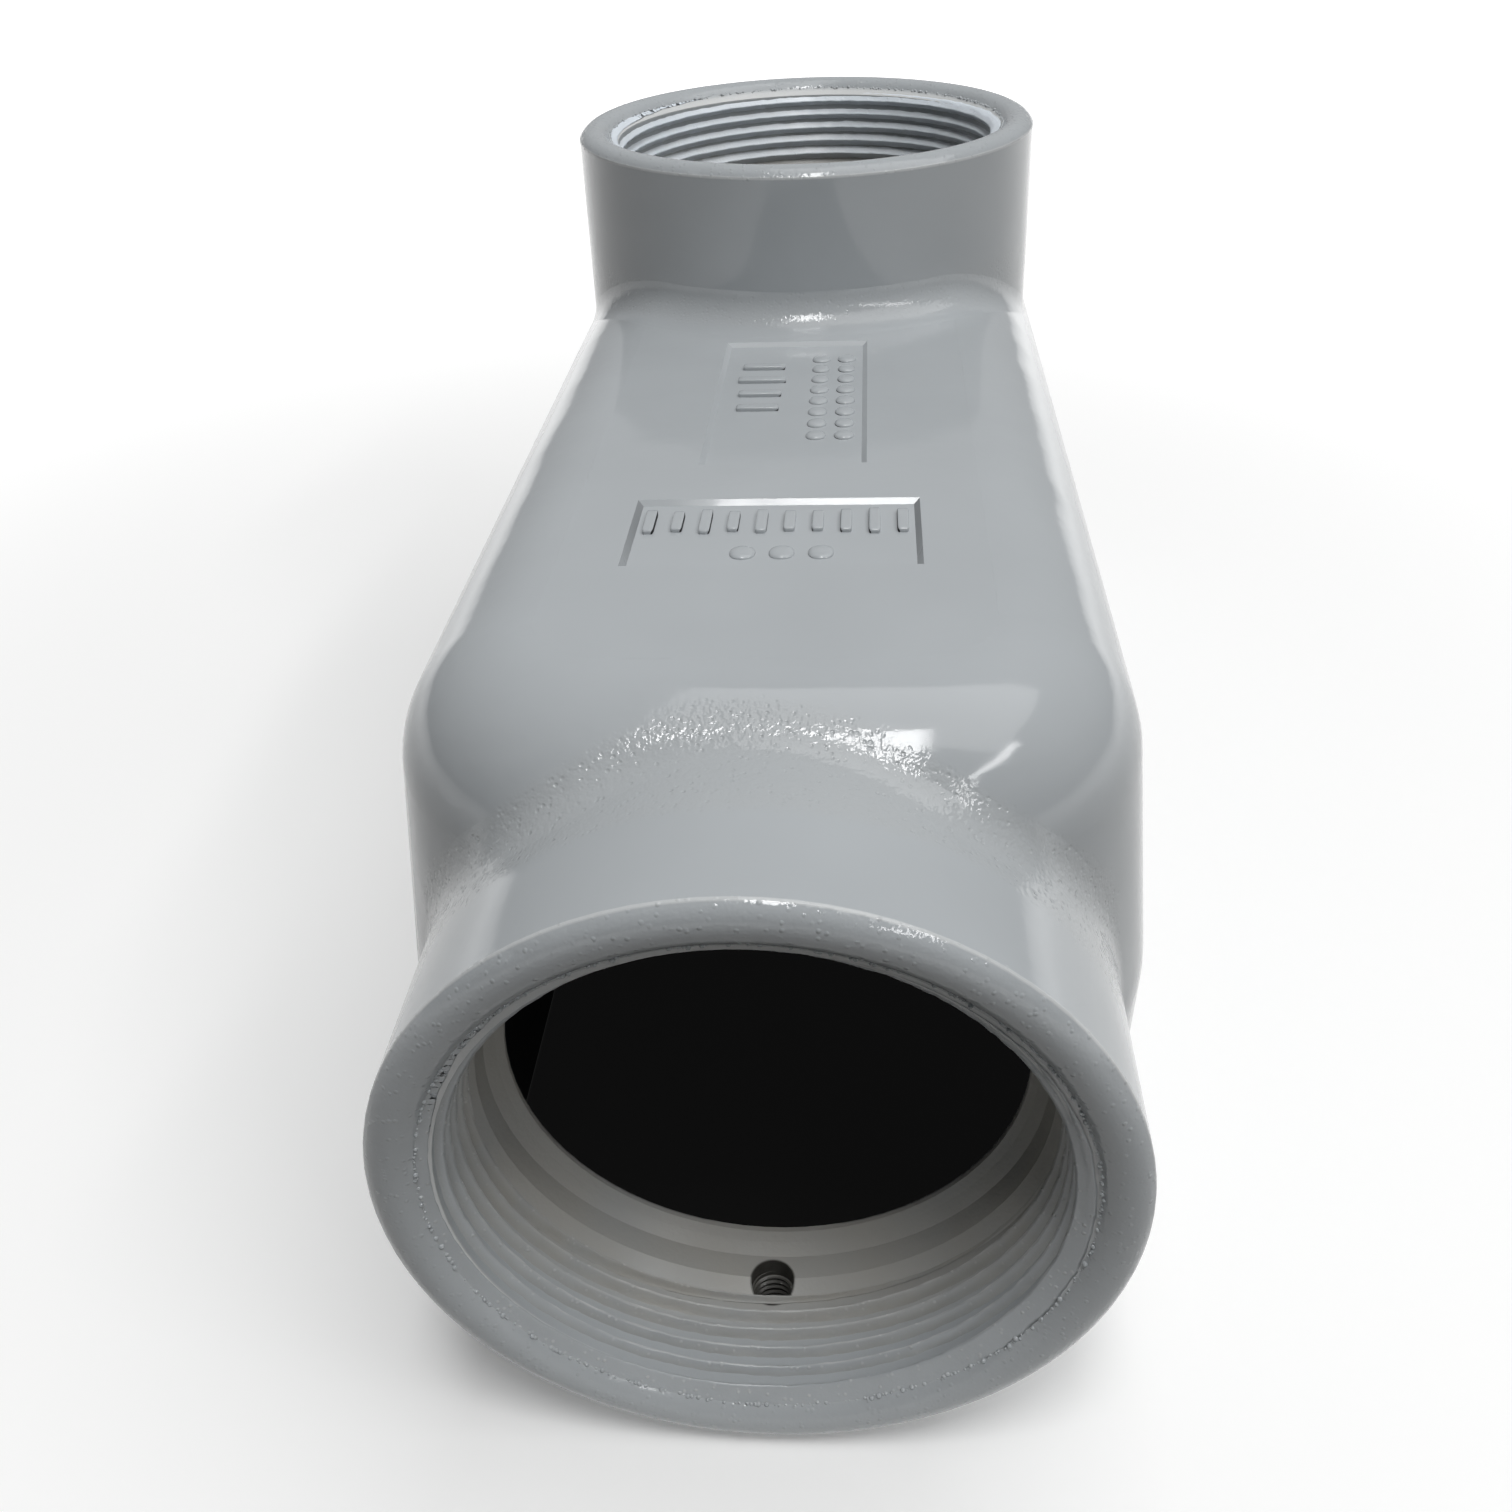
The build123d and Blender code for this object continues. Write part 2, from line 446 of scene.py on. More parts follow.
def screw_hole_shade_mask(board, place):
    """One on the walls of the two cover-screw holes, which are painted dark as shade."""
    x, y, z = board.parts(place)
    beside_middle = board.sum("ABSOLUTE", board.sum("SUBTRACT", y, screw_middle.y))
    along = board.sum("SUBTRACT", beside_middle, screw_spacing / 2)
    from_hole = board.length(board.joined(x, along))
    near = board.rise(from_hole, screw_hole_r, screw_hole_r + 0.4 * MM, 1.0, 0.0)
    return board.sum("MULTIPLY", near, board.rise(z, 12 * MM, 20 * MM, 1.0, 0.0))


def screw_lug_mask(board, place):
    """One on the far screw's lug, whose top and sides look away from the middle line, but not its foot."""
    x, y, z = board.parts(place)
    across = board.rise(board.sum("ABSOLUTE", x), lug_half_width, lug_half_width + 0.5 * MM, 1.0, 0.0)
    along = board.band(y, lug_near_y, lug_far_y, 0.3 * MM)
    upwards = board.band(z, 0.8 * MM, lug_height, 0.5 * MM)
    return board.sum("MULTIPLY", across, board.sum("MULTIPLY", along, upwards))


def passage_mask(board, radius, depth):
    """One on the short round passage behind a hub's bushing."""
    near_axis = board.rise(radius, passage_r, passage_r + 0.5 * MM, 1.0, 0.0)
    behind = board.band(depth, bushing_depth + 0.4 * MM, passage_end_depth, 0.3 * MM)
    return board.sum("MULTIPLY", near_axis, behind)


def chamber_mask(board, place, end_depth, back_depth, passages):
    """One on the inside, raw casting painted near-black as shade: faces that look towards the body's middle
    line, the passages and the lug.
    """
    middle = board.arrow("MINIMUM", board.arrow("MAXIMUM", place, chamber_middle_low), chamber_middle_high)
    outwards = board.arrow("NORMALIZE", board.arrow("SUBTRACT", place, middle))
    facing = board.length(outwards, "DOT_PRODUCT", board.add("ShaderNodeNewGeometry").outputs["Normal"])
    inwards = board.rise(facing, -0.06, -0.02, 1.0, 0.0)
    inside = board.sum("MAXIMUM", inwards, screw_lug_mask(board, place))
    inside = board.sum("MAXIMUM", inside, passages)
    past_end = board.rise(end_depth, bushing_depth - 0.4 * MM, bushing_depth + 0.2 * MM)
    past_back = board.rise(back_depth, bushing_depth - 0.4 * MM, bushing_depth + 0.2 * MM)
    return board.sum("MULTIPLY", inside, board.sum("MULTIPLY", past_end, past_back))


print("masks ready")

# %% [markdown]
# The masks then choose the colour, the dullness and the unevenness of one Principled shader. The result
# takes the place of the plain material that the casting came with.


# %% Enamelled casting material
def make_casting_material():
    material, board, shader, place = new_material("grey enamel on the casting")
    end_radius, end_depth, end_bore, end_rim_face, end_painted_light = hub_masks(board, place, end_rim, end_outward)
    back_radius, back_depth, back_bore, back_rim_face, back_painted_light = hub_masks(
        board, place, back_rim, back_outward
    )
    bore = board.sum("MAXIMUM", end_bore, back_bore)
    rim = board.sum("MAXIMUM", end_rim_face, back_rim_face)
    end_crease = crease_mask(board, end_radius, end_depth, *end_crease_depths)
    back_crease = crease_mask(board, back_radius, back_depth, *back_crease_depths)
    crease = board.sum("MAXIMUM", end_crease, board.sum("MULTIPLY", back_crease, 0.5))
    end_passage = passage_mask(board, end_radius, end_depth)
    back_passage = passage_mask(board, back_radius, back_depth)
    passages = board.sum("MAXIMUM", end_passage, back_passage)
    chamber = chamber_mask(board, place, end_depth, back_depth, passages)

    deep = board.rise(board.sum("MINIMUM", end_depth, back_depth), 8 * MM, 22 * MM, 0.0, 1.0)
    dust = board.sum("MAXIMUM", board.sum("MULTIPLY", bore, deep), board.sum("MULTIPLY", crease, 0.12))
    tone = use_group(
        board, enamel_tone, Place=place, Clean=enamel_grey, Dusty=enamel_dusty, Dust=dust,
        Cloud_Size=26 * MM, Unevenness=0.10,
    )
    # Painted highlight along each outer rim edge and painted light on each countersink.
    highlighted = board.mixed(board.sum("MAXIMUM", end_painted_light, back_painted_light), tone["Color"], painted_light_grey)
    # The cover-screw holes are painted dark as shade.
    coloured = board.mixed(screw_hole_shade_mask(board, place), highlighted, screw_hole_shade)
    # Painted shade: the chamber is raw casting, darkened to near-black for the shade inside it.
    board.feed(shader.inputs["Base Color"], board.mixed(chamber, coloured, raw_casting_and_shade))

    shader.inputs["IOR"].default_value = 1.45
    worn = board.sum("MULTIPLY_ADD", tone["Cloud"], 0.10, 0.10)
    dull = board.sum("MULTIPLY_ADD", bore, 0.26, worn)
    board.feed(shader.inputs["Roughness"], board.sum("MULTIPLY_ADD", chamber, 0.5, dull, clamp=True))

    sandy = board.sum("MAXIMUM", crease, board.sum("MULTIPLY", board.sum("MAXIMUM", bore, rim), 0.45))
    skin = use_group(
        board, cast_skin, Place=place, Wave_Size=wave_size, Wave_Height=wave_height,
        Peel_Size=peel_size, Peel_Height=peel_height,
        Grain_Size=grain_size, Grain_Height=grain_height, Grain_Amount=sandy,
    )
    spot_height = board.sum("MULTIPLY_ADD", rim, bead_height, board.sum("MULTIPLY", crease, pock_height))
    scattered = use_group(
        board, spots, Place=place, Cell_Size=0.85 * MM, Spot_Share=0.5, Used_Share=0.35, Height=spot_height
    )
    bump(board, shader, board.sum("ADD", skin["Height"], scattered["Height"]))
    return material


casting_enamel = make_casting_material()
casting.data.materials.clear()
casting.data.materials.append(casting_enamel)
print("material", casting_enamel.name, len(casting_enamel.node_tree.nodes), "nodes")

# %% [markdown]
# ## Enamel on the threads
# In the bores the enamel ran over the threads and rounded them. It is thin on the crests, which carry small
# chips and get a painted highlight with painted glints, and thick in the grooves between them, which are
# painted darker as shade. The distance from the hub's axis tells crest from groove, so that one number drives
# the dust, the painted shade and the painted highlight.


# %% Thread material
def make_thread_material(name, rim_centre, outward, crest_r, root_r, taper, clean, dust_end, painted_light_share):
    material, board, shader, place = new_material(name)
    ring = use_group(board, hub_place, Place=place, Rim_Centre=rim_centre, Outward=outward)
    radius = board.sum("MULTIPLY_ADD", ring["Depth"], taper, ring["Radius"])
    height = root_r - crest_r
    groove = board.rise(radius, crest_r + 0.2 * height, root_r)
    past_countersink = board.rise(ring["Depth"], countersink_end, countersink_end + 1.4 * MM)
    groove = board.sum("MULTIPLY", groove, past_countersink)
    crest = board.rise(radius, crest_r + 0.02 * height, crest_r + 0.22 * height, 1.0, 0.0)
    dust = board.rise(ring["Depth"], 4 * MM, 19 * MM, 0.0, dust_end)
    dust = board.sum("MULTIPLY_ADD", groove, 0.3, dust, clamp=True)
    tone = use_group(
        board, enamel_tone, Place=place, Clean=clean, Dusty=enamel_dusty, Dust=dust,
        Cloud_Size=7 * MM, Unevenness=0.16,
    )
    # Painted shade: the grooves are darkened.
    groove_shaded = board.mixed(board.sum("MULTIPLY", groove, 0.3 * painted_light_share), tone["Color"], groove_shade)
    chips_and_glints = use_group(
        board, spots, Place=place, Cell_Size=0.9 * MM, Spot_Share=0.45, Used_Share=0.3, Height=0.10 * MM
    )
    # Painted highlight: the crests and the chips on them are lightened, as if catching the light.
    on_crest = board.sum("SUBTRACT", 1.0, groove, clamp=True)
    highlighted = board.sum("MULTIPLY", crest, board.rise(tone["Cloud"], -0.2, 0.2, 0.1, 0.6))
    bright = board.sum("MULTIPLY", board.sum("MULTIPLY", chips_and_glints["Spot"], on_crest), 0.5)
    bright = board.sum("MULTIPLY", board.sum("ADD", highlighted, bright, clamp=True), painted_light_share)
    board.feed(shader.inputs["Base Color"], board.mixed(bright, groove_shaded, painted_light_grey))
    board.feed(shader.inputs["Roughness"], board.sum("MULTIPLY_ADD", dust, 0.2, 0.28, clamp=True))
    skin = use_group(
        board, cast_skin, Place=place, Wave_Size=6 * MM, Wave_Height=0.10 * MM,
        Peel_Size=1.4 * MM, Peel_Height=0.05 * MM,
        Grain_Size=0.6 * MM, Grain_Height=0.04 * MM, Grain_Amount=1.0,
    )
    bump(board, shader, board.sum("MULTIPLY_ADD", chips_and_glints["Height"], on_crest, skin["Height"]))
    return material


crest_height = 1.5 * MM
side_taper = 1 / 32
root_r = thread_seat_r + 0.3 * MM
crest_r = root_r - crest_height
end_thread_enamel = make_thread_material(
    "enamel on the end hub thread", end_rim, end_outward, crest_r, root_r, side_taper,
    enamel_grey, 0.75, 1.0,
)
# Painted light: the back hub's thread is given the much lighter enamel.
back_thread_enamel = make_thread_material(
    "enamel on the back hub thread", back_rim, back_outward, crest_r, root_r, side_taper,
    painted_light_bluish, 0.2, 0.0,
)
print("materials", end_thread_enamel.name, "and", back_thread_enamel.name)

# %% [markdown]
# ## Geometry trees
# The added shapes grow from three trees with named inputs. They all end alike: what was placed as instances
# is made real, shaded smooth, and given the material that the last input brings.


# %% What the three trees share
def new_geometry_tree(name, inputs):
    return new_tree("GeometryNodeTree", name, inputs, [("Mesh", "Geometry")])


def finish_geometry(board, geometry, entry, leave):
    whole = board.add("GeometryNodeRealizeInstances")
    board.feed(whole.inputs["Geometry"], geometry)
    smooth = board.add("GeometryNodeSetShadeSmooth")
    board.feed(smooth.inputs["Geometry"], whole.outputs[0])
    finish = board.add("GeometryNodeSetMaterial")
    board.feed(finish.inputs["Geometry"], smooth.outputs[0])
    board.feed(finish.inputs["Material"], entry["Finish"])
    board.feed(leave["Mesh"], finish.outputs[0])


print("start and end of a tree ready")

# %% [markdown]
# ## Threads from one geometry tree
# A thread is a ridge that follows a helix, which is just what Geometry Nodes are good at: a spiral carries
# a closed ridge section, and the same tree serves the wide pipe threads and the small screw threads. The
# section comes to a point between hollow flanks, because the enamel fills the grooves and leaves the crests
# sharp. The ridge fades out at the end, as a tap leaves it, and is a little uneven all along, as a dipped
# thread is. At the mouth a cone cuts its first turns back, as a countersink does: whatever would reach in
# past the cone is moved out to it.


# %% Screw thread tree
def make_thread_tree():
    board, entry, leave = new_geometry_tree("screw thread", [
        ("Start Radius", "Float", 0.044),
        ("End Radius", "Float", 0.044),
        ("Pitch", "Float", 0.003),
        ("Turns", "Float", 5.0),
        ("Ridge Height", "Float", 0.0019),
        ("Ridge Width", "Float", 0.003),
        ("Hollowness", "Float", 1.0),
        ("Seat Depth", "Float", 0.0003),
        ("Steps per Turn", "Int", 96),
        ("Fade Turns", "Float", 0.5),
        ("Mouth Radius", "Float", 0.0),
        ("Mouth Height", "Float", 0.0),
        ("Mouth Slope", "Float", 0.0),
        ("Unevenness", "Float", 0.0),
        ("Uneven Size", "Float", 0.004),
        ("Finish", "Material", None),
    ])

    spiral = board.add("GeometryNodeCurveSpiral")
    board.feed(spiral.inputs["Resolution"], entry["Steps per Turn"])
    board.feed(spiral.inputs["Rotations"], entry["Turns"])
    board.feed(spiral.inputs["Start Radius"], entry["Start Radius"])
    board.feed(spiral.inputs["End Radius"], entry["End Radius"])
    board.feed(spiral.inputs["Height"], board.sum("MULTIPLY", entry["Pitch"], entry["Turns"]))

    place = board.add("GeometryNodeInputPosition").outputs[0]
    x, y, z = board.parts(place)

    along = board.add("GeometryNodeSplineParameter").outputs["Factor"]
    turned = board.sum("MULTIPLY", along, entry["Turns"])
    left = board.sum("SUBTRACT", entry["Turns"], turned)
    fade_in = board.rise(turned, 0.0, entry["Fade Turns"], 0.03, 1.0)
    fade_out = board.rise(left, 0.0, entry["Fade Turns"], 0.03, 1.0)
    upright = board.add("GeometryNodeSetCurveNormal", mode="Z_UP")
    board.feed(upright.inputs["Curve"], spiral.outputs[0])

    width = board.add("GeometryNodeCurvePrimitiveLine")
    width.inputs["Start"].default_value = (0, -1, 0)
    width.inputs["End"].default_value = (0, 1, 0)
    section = board.add("GeometryNodeResampleCurve")
    board.feed(section.inputs["Curve"], width.outputs[0])
    section.inputs["Count"].default_value = 15
    from_foot = board.sum("SUBTRACT", 1.0, board.sum("ABSOLUTE", y), clamp=True)
    flank = board.sum("POWER", from_foot, entry["Hollowness"])
    whole_height = board.sum("ADD", entry["Ridge Height"], entry["Seat Depth"])
    half_width = board.sum("MULTIPLY", entry["Ridge Width"], 0.5)
    above_wall = board.sum("SUBTRACT", board.sum("MULTIPLY", flank, whole_height), entry["Seat Depth"])
    profile = board.joined(above_wall, board.sum("MULTIPLY", y, half_width))
    shaped = board.add("GeometryNodeSetPosition")
    board.feed(shaped.inputs["Geometry"], section.outputs[0])
    board.feed(shaped.inputs["Position"], profile)
    closed = board.add("GeometryNodeSetSplineCyclic")
    board.feed(closed.inputs["Geometry"], shaped.outputs[0])
    closed.inputs["Cyclic"].default_value = True

    swept = board.add("GeometryNodeCurveToMesh")
    board.feed(swept.inputs["Curve"], upright.outputs[0])
    board.feed(swept.inputs["Profile Curve"], closed.outputs[0])
    board.feed(swept.inputs["Scale"], board.sum("MULTIPLY", fade_in, fade_out))
    swept.inputs["Fill Caps"].default_value = True
    ripple = board.add("ShaderNodeTexNoise")
    board.feed(ripple.inputs["Vector"], place)
    board.feed(ripple.inputs["Scale"], board.sum("DIVIDE", 1.0, entry["Uneven Size"]))
    ripple.inputs["Detail"].default_value = 2.0
    shift = board.arrow("SUBTRACT", ripple.outputs["Color"], (0.5, 0.5, 0.5))
    rippled = board.add("GeometryNodeSetPosition")
    board.feed(rippled.inputs["Geometry"], swept.outputs[0])
    board.feed(rippled.inputs["Offset"], board.scaled(shift, board.sum("MULTIPLY", entry["Unevenness"], 2.0)))

    level = board.joined(x, y)
    past_mouth = board.sum("SUBTRACT", z, entry["Mouth Height"])
    narrowing = board.sum("MULTIPLY", past_mouth, entry["Mouth Slope"])
    cone = board.sum("SUBTRACT", entry["Mouth Radius"], narrowing)
    too_far_in = board.sum("MAXIMUM", board.sum("SUBTRACT", cone, board.length(level)), 0.0)
    outwards = board.arrow("NORMALIZE", level)
    chamfered = board.add("GeometryNodeSetPosition")
    board.feed(chamfered.inputs["Geometry"], rippled.outputs[0])
    board.feed(chamfered.inputs["Offset"], board.scaled(outwards, too_far_in))
    finish_geometry(board, chamfered.outputs[0], entry, leave)
    return board.tree


thread_tree = make_thread_tree()
print("tree", thread_tree.name, len(thread_tree.nodes), "nodes")

# %% [markdown]
# A geometry tree is run once on an empty host, its result is kept as a plain mesh, and the mesh is then
# turned into its place. The finished object itself stays at the origin, unturned, so that its enamel is
# patterned in the same space as the casting's.


# %% Run a tree and keep its mesh
def keep_mesh(name, mesh, place):
    mesh.transform(place)
    work = bmesh.new()
    work.from_mesh(mesh)
    bmesh.ops.remove_doubles(work, verts=work.verts, dist=0.002 * MM)
    bmesh.ops.recalc_face_normals(work, faces=work.faces)
    work.to_mesh(mesh)
    work.free()
    piece = bpy.data.objects.new(name, mesh)
    bpy.context.scene.collection.objects.link(piece)
    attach(piece, "root")
    return piece


def grow(name, tree, values, place):
    host = bpy.data.objects.new(name + " host", bpy.data.meshes.new(name + " host"))
    bpy.context.scene.collection.objects.link(host)
    modifier = host.modifiers.new("tree", "NODES")
    modifier.node_group = tree
    for item in tree.interface.items_tree:
        if item.in_out == "INPUT" and item.name in values:
            modifier[item.identifier] = values[item.name]
    mesh = bpy.data.meshes.new_from_object(host.evaluated_get(bpy.context.evaluated_depsgraph_get()))
    host.modifiers.remove(modifier)
    bpy.data.objects.remove(host)
    return keep_mesh(name, mesh, place)


def turned_to(origin, first, second, third):
    """The placing of a mesh whose own x, y and z axes are to lie along three directions."""
    turn = Matrix((first, second, third)).transposed().to_4x4()
    return Matrix.Translation(origin) @ turn


print("grow ready")

# %% [markdown]
# ## Pipe threads in the two hubs
# The pipe thread has eight ridges to the inch and narrows by one in sixteen on the diameter as it goes in.
# It is right-handed: seen from outside it turns clockwise into the bore. The helix starts at the chamfer
# just inside the mouth and ends short of the smooth bushing. In the back hub more enamel ran into the
# grooves, so its ridges are lower and fuller.

# %% Pipe threads
pipe_pitch = 25.4 * MM / 8
pipe_turns = 5.75
pipe_start = 1.6 * MM
thread_fall = pipe_turns * pipe_pitch * side_taper
pipe_thread = {
    "Start Radius": thread_seat_r + 0.5 * thread_fall,
    "End Radius": thread_seat_r - 0.5 * thread_fall,
    "Pitch": pipe_pitch,
    "Turns": pipe_turns,
    "Ridge Height": crest_height,
    "Ridge Width": pipe_pitch * 1.04,
    "Hollowness": 1.7,
    "Seat Depth": 0.35 * MM,
    "Steps per Turn": 240,
    "Fade Turns": 0.5,
    "Mouth Radius": mouth_r,
    "Mouth Height": mouth_depth - pipe_start,
    "Mouth Slope": 2.0,
    "Unevenness": 0.20 * MM,
    "Uneven Size": 2.4 * MM,
}
into_end = turned_to(end_rim - end_outward * pipe_start, (0, 0, 1), (1, 0, 0), (0, 1, 0))
into_back = turned_to(back_rim - back_outward * pipe_start, (0, 1, 0), (1, 0, 0), (0, 0, -1))
filled_thread = {**pipe_thread, "Ridge Height": 0.75 * crest_height, "Hollowness": 1.0}
end_thread = grow("end_hub_thread", thread_tree, {**pipe_thread, "Finish": end_thread_enamel}, into_end)
back_thread = grow("back_hub_thread", thread_tree, {**filled_thread, "Finish": back_thread_enamel}, into_back)
for piece in (end_thread, back_thread):
    print(piece.name, len(piece.data.polygons), "faces")

# %% [markdown]
# ## Threads in the cover-screw holes
# The two holes that take the cover's screws are tapped for an 8 mm screw. The near one breaks through into
# the end hub's bore, where the photograph shows its first turns. The same tree cuts both, with other sizes.

# %% Screw threads
screw_pitch = 1.25 * MM
screw_ridge = 0.42 * MM
near_screw = screw_middle - Vector((0, screw_spacing / 2, 0))
far_screw = screw_middle + Vector((0, screw_spacing / 2, 0))
near_length = end_rim.z - thread_seat_r
far_length = 15.0 * MM
screw_crest_r = screw_hole_r - screw_ridge
# The screw threads take the dark colour of the holes, which is painted shade.
screw_enamel = make_thread_material(
    "screw hole threads in painted shade", near_screw, (0, 0, -1), screw_crest_r, screw_hole_r, 0.0,
    screw_hole_shade, 0.2, 0.5,
)
screw_holes = {
    "near_screw_thread": (near_screw, near_length),
    "far_screw_thread": (far_screw, far_length),
}
for name, (place, length) in screw_holes.items():
    screw_thread = {
        "Start Radius": screw_hole_r,
        "End Radius": screw_hole_r,
        "Pitch": screw_pitch,
        "Turns": (length - screw_pitch) / screw_pitch,
        "Ridge Height": screw_ridge,
        "Ridge Width": screw_pitch * 0.9,
        "Hollowness": 1.3,
        "Seat Depth": 0.15 * MM,
        "Steps per Turn": 40,
        "Fade Turns": 0.5,
        "Finish": screw_enamel,
    }
    upwards = turned_to(place + Vector((0, 0, 0.5 * screw_pitch)), (1, 0, 0), (0, 1, 0), (0, 0, 1))
    piece = grow(name, thread_tree, screw_thread, upwards)
    print(piece.name, len(piece.data.polygons), "faces")

# %% [markdown]
# ## Enamel beads along the mouths
# Wet enamel draws back from a sharp edge and dries there as a string of small beads. They stand up enough
# to sparkle one by one, so they are real drops and not bump: a ring of points, thinned out at random, with
# a small flattened ball on each that takes a random size and strays a little from the line.


# %% Bead ring tree
def make_bead_tree():
    board, entry, leave = new_geometry_tree("bead ring", [
        ("Radius", "Float", 0.046),
        ("Count", "Int", 480),
        ("Share", "Float", 0.75),
        ("Small", "Float", 0.00014),
        ("Large", "Float", 0.00044),
        ("Stray", "Float", 0.00018),
        ("Seed", "Int", 5),
        ("Finish", "Material", None),
    ])

    ring = board.add("GeometryNodeMeshCircle")
    board.feed(ring.inputs["Vertices"], entry["Count"])
    board.feed(ring.inputs["Radius"], entry["Radius"])
    kept = board.add("FunctionNodeRandomValue", data_type="BOOLEAN")
    board.feed(kept.inputs["Probability"], entry["Share"])
    board.feed(kept.inputs["Seed"], entry["Seed"])
    aside = board.add("FunctionNodeRandomValue", data_type="FLOAT_VECTOR")
    aside.inputs[0].default_value = (-1, -1, -1)
    board.feed(aside.inputs["Seed"], board.sum("ADD", entry["Seed"], 1.0))
    strayed = board.add("GeometryNodeSetPosition")
    board.feed(strayed.inputs["Geometry"], ring.outputs["Mesh"])
    board.feed(strayed.inputs["Offset"], board.scaled(aside.outputs[0], entry["Stray"]))

    drop = board.add("GeometryNodeMeshIcoSphere")
    drop.inputs["Radius"].default_value = 1.0
    drop.inputs["Subdivisions"].default_value = 2
    size = board.add("FunctionNodeRandomValue", data_type="FLOAT")
    board.feed(size.inputs[2], entry["Small"])
    board.feed(size.inputs[3], entry["Large"])
    board.feed(size.inputs["Seed"], board.sum("ADD", entry["Seed"], 2.0))
    scattered = board.add("GeometryNodeInstanceOnPoints")
    board.feed(scattered.inputs["Points"], strayed.outputs[0])
    board.feed(scattered.inputs["Selection"], kept.outputs[3])
    board.feed(scattered.inputs["Instance"], drop.outputs[0])
    board.feed(scattered.inputs["Scale"], size.outputs[1])
    finish_geometry(board, scattered.outputs[0], entry, leave)
    return board.tree


bead_tree = make_bead_tree()
print("tree", bead_tree.name, len(bead_tree.nodes), "nodes")

# %% Beads on both mouths
beads_deep = mouth_depth + 0.05 * MM
beads_into_end = turned_to(end_rim - end_outward * beads_deep, (0, 0, 1), (1, 0, 0), (0, 1, 0))
beads_into_back = turned_to(back_rim - back_outward * beads_deep, (0, 1, 0), (1, 0, 0), (0, 0, -1))
for name, seed, place in (
    ("end_mouth_beads", 5, beads_into_end),
    ("back_mouth_beads", 11, beads_into_back),
):
    beads = {"Radius": mouth_r, "Seed": seed, "Finish": casting_enamel}
    piece = grow(name, bead_tree, beads, place)
    print(piece.name, len(piece.data.polygons), "faces")

# %% [markdown]
# ## Raised marks in the two panels
# Castings of this kind carry two shallow panels on the back, in which the foundry's pattern leaves raised
# marks under the enamel. Here they stay plain: rows of bars and pips that say nothing. Each row is a line
# of points with one soft-edged block on each, a little uneven in length, as a sand mould gives them.


# %% Raised row tree
def make_row_tree():
    board, entry, leave = new_geometry_tree("raised row", [
        ("Count", "Int", 8),
        ("Spacing", "Float", 0.0045),
        ("Length", "Float", 0.008),
        ("Width", "Float", 0.002),
        ("Height", "Float", 0.001),
        ("Unevenness", "Float", 0.1),
        ("Edge Crease", "Float", 0.45),
        ("Seed", "Int", 3),
        ("Finish", "Material", None),
    ])

    gaps = board.sum("SUBTRACT", entry["Count"], 1.0)
    row_length = board.sum("MULTIPLY", gaps, entry["Spacing"])
    row = board.add("GeometryNodeMeshLine")
    board.feed(row.inputs["Count"], entry["Count"])
    board.feed(row.inputs["Start Location"], board.joined(board.sum("MULTIPLY", row_length, -0.5)))
    board.feed(row.inputs["Offset"], board.joined(entry["Spacing"]))

    block = board.add("GeometryNodeMeshCube")
    for axis in ("Vertices X", "Vertices Y", "Vertices Z"):
        block.inputs[axis].default_value = 2
    half_sunk = board.sum("MULTIPLY", entry["Height"], 2.0)
    board.feed(block.inputs["Size"], board.joined(entry["Width"], entry["Length"], half_sunk))
    soft = board.add("GeometryNodeSubdivisionSurface")
    board.feed(soft.inputs["Mesh"], block.outputs["Mesh"])
    soft.inputs["Level"].default_value = 3
    board.feed(soft.inputs["Edge Crease"], entry["Edge Crease"])

    uneven = board.add("FunctionNodeRandomValue", data_type="FLOAT")
    board.feed(uneven.inputs[2], board.sum("SUBTRACT", 1.0, entry["Unevenness"]))
    uneven.inputs[3].default_value = 1.0
    board.feed(uneven.inputs["Seed"], entry["Seed"])
    placed = board.add("GeometryNodeInstanceOnPoints")
    board.feed(placed.inputs["Points"], row.outputs[0])
    board.feed(placed.inputs["Instance"], soft.outputs[0])
    board.feed(placed.inputs["Scale"], board.joined(1.0, uneven.outputs[1], 1.0))
    finish_geometry(board, placed.outputs[0], entry, leave)
    return board.tree


row_tree = make_row_tree()
print("tree", row_tree.name, len(row_tree.nodes), "nodes")

# %% Rows of marks
mark_height = 0.80 * MM
wide_panel_middle = end_rim.y + 88.2 * MM
long_panel_middle = end_rim.y + 148.0 * MM
wide_floor_z = height_under(0, wide_panel_middle)
long_floor_z = height_under(0, long_panel_middle)


def mark_row(name, x, y, floor_z, along, values):
    """A row centred at x, y on a panel's floor; along is the direction of the row."""
    across = Vector((0, 0, 1)).cross(Vector(along))
    place = turned_to(Vector((x, y, floor_z)), along, across, (0, 0, 1))
    piece = grow(name, row_tree, {"Height": mark_height, "Finish": casting_enamel, **values}, place)
    print(piece.name, len(piece.data.polygons), "faces")
    return piece


level = (1, 0, 0)
endwise = (0, 1, 0)
round_pip = {"Edge Crease": 0.1, "Unevenness": 0.1}
mark_row(
    "wide_panel_bars", 0, end_rim.y + 92.8 * MM, wide_floor_z, level,
    {"Count": 10, "Spacing": 4.6 * MM, "Length": 8.8 * MM, "Width": 1.9 * MM, "Unevenness": 0.25, "Seed": 4},
)
mark_row(
    "wide_panel_pips", 1.5 * MM, end_rim.y + 81.6 * MM, wide_floor_z, level,
    {"Count": 3, "Spacing": 6.2 * MM, "Length": 5.4 * MM, "Width": 4.8 * MM, **round_pip},
)
mark_row(
    "long_panel_bars", -6.2 * MM, end_rim.y + 155.0 * MM, long_floor_z, endwise,
    {"Count": 4, "Spacing": 7.6 * MM, "Length": 9.6 * MM, "Width": 2.2 * MM, "Unevenness": 0.2, "Seed": 8},
)
